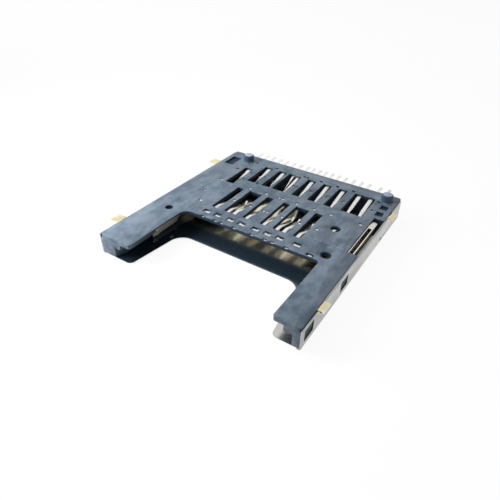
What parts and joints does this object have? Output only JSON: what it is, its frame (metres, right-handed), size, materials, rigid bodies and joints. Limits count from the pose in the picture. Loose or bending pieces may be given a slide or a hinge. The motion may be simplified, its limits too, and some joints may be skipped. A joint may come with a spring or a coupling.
{
  "type": "sd card socket",
  "caption": "Low surface-mount socket for a full-size memory card, seen from its board side: moulded plate, folded steel cover, spring contacts, solder tails and a push-push ejector.",
  "frame": {"origin": "on the outer face of the cover, on the middle line of the body, below the contact points of the first contact row", "axes": "+Z from the cover face to the circuit board, +Y the way the card goes in, +X to the side with the write-protect switch"},
  "size_m": [0.0303, 0.0315, 0.004],
  "materials": {
    "moulding": "slate blue-grey glass-filled polymer, fine matt texture",
    "slider_moulding": "dark moulded polymer",
    "stainless": "satin stainless sheet, tabs plated pale gold",
    "contact_plating": "copper alloy strip with bright silver-white plating",
    "terminal_plating": "copper alloy strip, grey plating with a gold contact point",
    "spring_steel": "drawn spring wire"
  },
  "bodies": {
    "socket": {"housing": "moulding", "cover": "stainless", "card_contact_1": "contact_plating", "card_contact_2": "contact_plating", "card_contact_3": "contact_plating", "card_contact_4": "contact_plating", "card_contact_5": "contact_plating", "card_contact_6": "contact_plating", "card_contact_7": "contact_plating", "card_contact_8": "contact_plating", "card_contact_9": "contact_plating", "row_two_contact_10": "contact_plating", "row_two_contact_11": "contact_plating", "row_two_contact_12": "contact_plating", "row_two_contact_13": "contact_plating", "row_two_contact_14": "contact_plating", "row_two_contact_15": "contact_plating", "row_two_contact_16": "contact_plating", "row_two_contact_17": "contact_plating", "card_detect_contact": "contact_plating", "write_protect_spring": "contact_plating", "write_protect_terminal": "terminal_plating", "eject_spring": "spring_steel"},
    "slider": {"eject_slider": "slider_moulding", "card_lock_leaf": "stainless"},
    "cam_pin": {"cam_pin": "spring_steel"}
  },
  "joints": [
    {"name": "eject_slide", "type": "slide", "parent": "socket", "child": "slider", "axis": [0, 1, 0], "range_m": [0, 0.0046], "stiffness_N_per_m": 150, "springref_m": -0.002, "deforming": ["eject_spring"]},
    {"name": "cam_pin_swing", "type": "hinge", "parent": "socket", "child": "cam_pin", "pos_m": [-0.01247, -0.0141, 0.0005], "axis": [0, 0, 1], "range_deg": [0, 5.5]}
  ]
}
